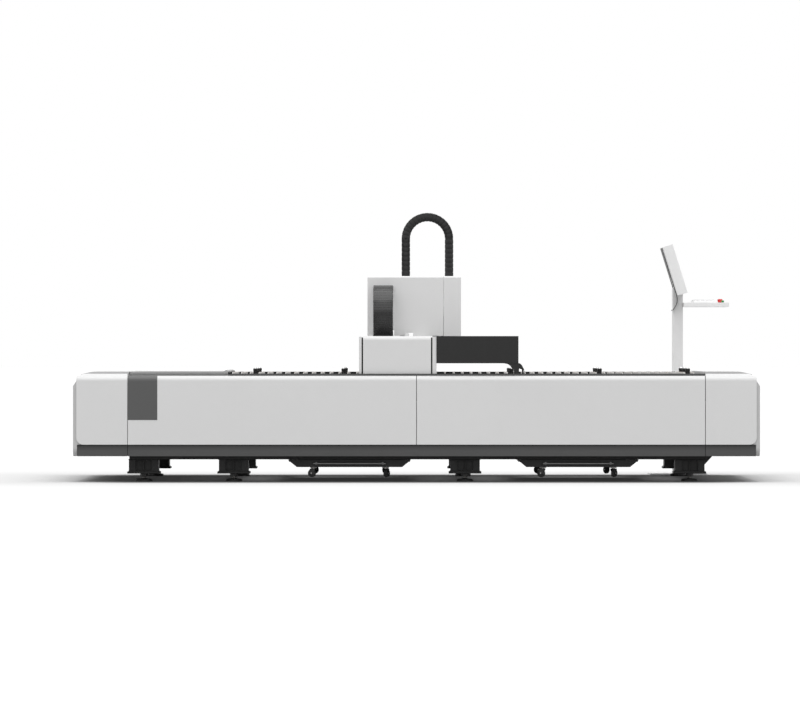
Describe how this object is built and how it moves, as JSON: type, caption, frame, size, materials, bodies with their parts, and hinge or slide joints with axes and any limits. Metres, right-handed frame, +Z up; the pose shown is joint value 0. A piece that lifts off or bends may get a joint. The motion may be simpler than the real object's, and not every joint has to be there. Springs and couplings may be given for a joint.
{
  "type": "fiber laser cutting machine",
  "caption": "Flat-bed laser cutter with a slatted table, a travelling gantry, a cross carriage, a vertical cutting head, drag chains, slag drawers and an operator console.",
  "frame": {"origin": "centre of the whole footprint on the floor, console included", "axes": "+X along the bed towards the console end, +Y across the bed towards the console side, +Z up"},
  "size_m": [4.738, 2.9514, 1.882],
  "materials": {
    "white_paint": "satin powder coat",
    "shaded_white_paint": "satin powder coat",
    "black_paint": "satin powder coat",
    "plinth_paint": "satin powder coat",
    "frame_paint": "satin paint",
    "deck_paint": "satin paint",
    "ground_steel": "ground and oiled",
    "slat_steel": "mill finish, scorched tips",
    "chain_plastic": "moulded",
    "motor_black": "satin",
    "aluminium": "machined and anodised",
    "copper_alloy": "turned",
    "foot_metal": "zinc plated",
    "badge_grey": "satin",
    "caster_mix": "pressed steel with rubber tread",
    "screen_glass": "gloss",
    "red_plastic": "gloss",
    "green_plastic": "gloss"
  },
  "bodies": {
    "bed": {"side_beam_near": "frame_paint", "side_beam_far": "frame_paint", "chassis_rails": "black_paint", "cross_members": "black_paint", "legs": "black_paint", "leveling_feet": "foot_metal", "x_rails_and_racks": "ground_steel", "cable_troughs": "black_paint", "x_chain_lower": "chain_plastic", "slat_frame": "frame_paint", "slats": "slat_steel", "ball_supports": "foot_metal", "table_ledges": "frame_paint", "deck_plate": "deck_paint", "side_panel_near_left": "white_paint", "side_panel_near_right": "white_paint", "side_panels_far": "white_paint", "corner_panels": "white_paint", "skirts": "plinth_paint", "end_covers": "shaded_white_paint", "end_caps": "white_paint", "badge_panel": "badge_grey", "drawer_runners": "black_paint", "console_stand": "white_paint", "monitor_housing": "white_paint", "monitor_screen": "screen_glass", "console_shelf": "white_paint"},
    "gantry": {"gantry_end_boxes": "shaded_white_paint", "gantry_covers": "white_paint", "x_guide_blocks": "ground_steel", "x_motors": "motor_black", "gantry_beam": "shaded_white_paint", "y_rails_and_rack": "ground_steel", "tow_duct": "black_paint", "y_chain_lower": "chain_plastic", "x_chain_upper": "chain_plastic"},
    "carriage": {"carriage_frame": "aluminium", "y_guide_blocks": "ground_steel", "y_motor": "motor_black", "carriage_cover": "white_paint", "carriage_aprons": "white_paint", "z_rails": "ground_steel", "z_motor": "motor_black", "y_chain_upper": "chain_plastic", "z_chain": "chain_plastic"},
    "z_slide": {"z_plate": "aluminium", "z_cover": "white_paint", "cutting_head": "aluminium", "nozzle": "copper_alloy"},
    "x_pinion_near": {"x_pinion_near": "ground_steel"},
    "x_pinion_far": {"x_pinion_far": "ground_steel"},
    "y_pinion": {"y_pinion": "ground_steel"},
    "z_screw": {"z_screw": "ground_steel"},
    "x_chain_bend": {"x_chain_bend": "chain_plastic"},
    "y_chain_bend": {"y_chain_bend": "chain_plastic"},
    "drawer_left": {"drawer_left": "black_paint", "drawer_casters_left": "caster_mix"},
    "drawer_right": {"drawer_right": "black_paint", "drawer_casters_right": "caster_mix"},
    "e_stop_button": {"e_stop_button": "red_plastic"},
    "start_button": {"start_button": "green_plastic"}
  },
  "joints": [
    {"name": "x_travel", "type": "slide", "parent": "bed", "child": "gantry", "axis": [1, 0, 0], "range_m": [-1.5, 1.5], "deforming": ["x_chain_lower", "x_chain_upper"]},
    {"name": "y_travel", "type": "slide", "parent": "gantry", "child": "carriage", "axis": [0, 1, 0], "range_m": [-0.75, 0.75], "deforming": ["y_chain_lower", "y_chain_upper"]},
    {"name": "z_travel", "type": "slide", "parent": "carriage", "child": "z_slide", "axis": [0, 0, 1], "range_m": [-0.035, 0.07], "deforming": ["z_chain"]},
    {"name": "x_pinion_near_spin", "type": "hinge", "parent": "gantry", "child": "x_pinion_near", "pos_m": [-0.135, -1.33955, 0.73], "axis": [0, 0, 1], "range_deg": [-2870, 2870]},
    {"name": "x_pinion_far_spin", "type": "hinge", "parent": "gantry", "child": "x_pinion_far", "pos_m": [-0.135, 0.79105, 0.73], "axis": [0, 0, 1], "range_deg": [-2870, 2870]},
    {"name": "y_pinion_spin", "type": "hinge", "parent": "carriage", "child": "y_pinion", "pos_m": [-0.0903, -0.27425, 1.015], "axis": [0, 0, 1], "range_deg": [-1440, 1440]},
    {"name": "z_screw_spin", "type": "hinge", "parent": "carriage", "child": "z_screw", "pos_m": [0.153, -0.27425, 1.1], "axis": [0, 0, 1], "range_deg": [-2600, 1300]},
    {"name": "x_chain_travel", "type": "slide", "parent": "bed", "child": "x_chain_bend", "axis": [1, 0, 0], "range_m": [-0.751, 0.751]},
    {"name": "y_chain_travel", "type": "slide", "parent": "gantry", "child": "y_chain_bend", "axis": [0, 1, 0], "range_m": [-0.376, 0.376]},
    {"name": "drawer_left_slide", "type": "slide", "parent": "bed", "child": "drawer_left", "axis": [0, -1, 0], "range_m": [0, 0.9]},
    {"name": "drawer_right_slide", "type": "slide", "parent": "bed", "child": "drawer_right", "axis": [0, -1, 0], "range_m": [0, 0.9]},
    {"name": "e_stop_press", "type": "slide", "parent": "bed", "child": "e_stop_button", "axis": [0, 0, -1], "range_m": [0, 0.004], "stiffness_N_per_m": 800},
    {"name": "start_press", "type": "slide", "parent": "bed", "child": "start_button", "axis": [0, 0, -1], "range_m": [0, 0.004], "stiffness_N_per_m": 800}
  ],
  "couplings": [
    {"joint": "x_pinion_near_spin", "follows": "x_travel", "rad_per_m": 33.333},
    {"joint": "x_pinion_far_spin", "follows": "x_travel", "rad_per_m": -33.333},
    {"joint": "x_chain_travel", "follows": "x_travel", "ratio": 0.5},
    {"joint": "y_pinion_spin", "follows": "y_travel", "rad_per_m": -33.333},
    {"joint": "y_chain_travel", "follows": "y_travel", "ratio": 0.5},
    {"joint": "z_screw_spin", "follows": "z_travel", "rad_per_m": -628.32}
  ]
}
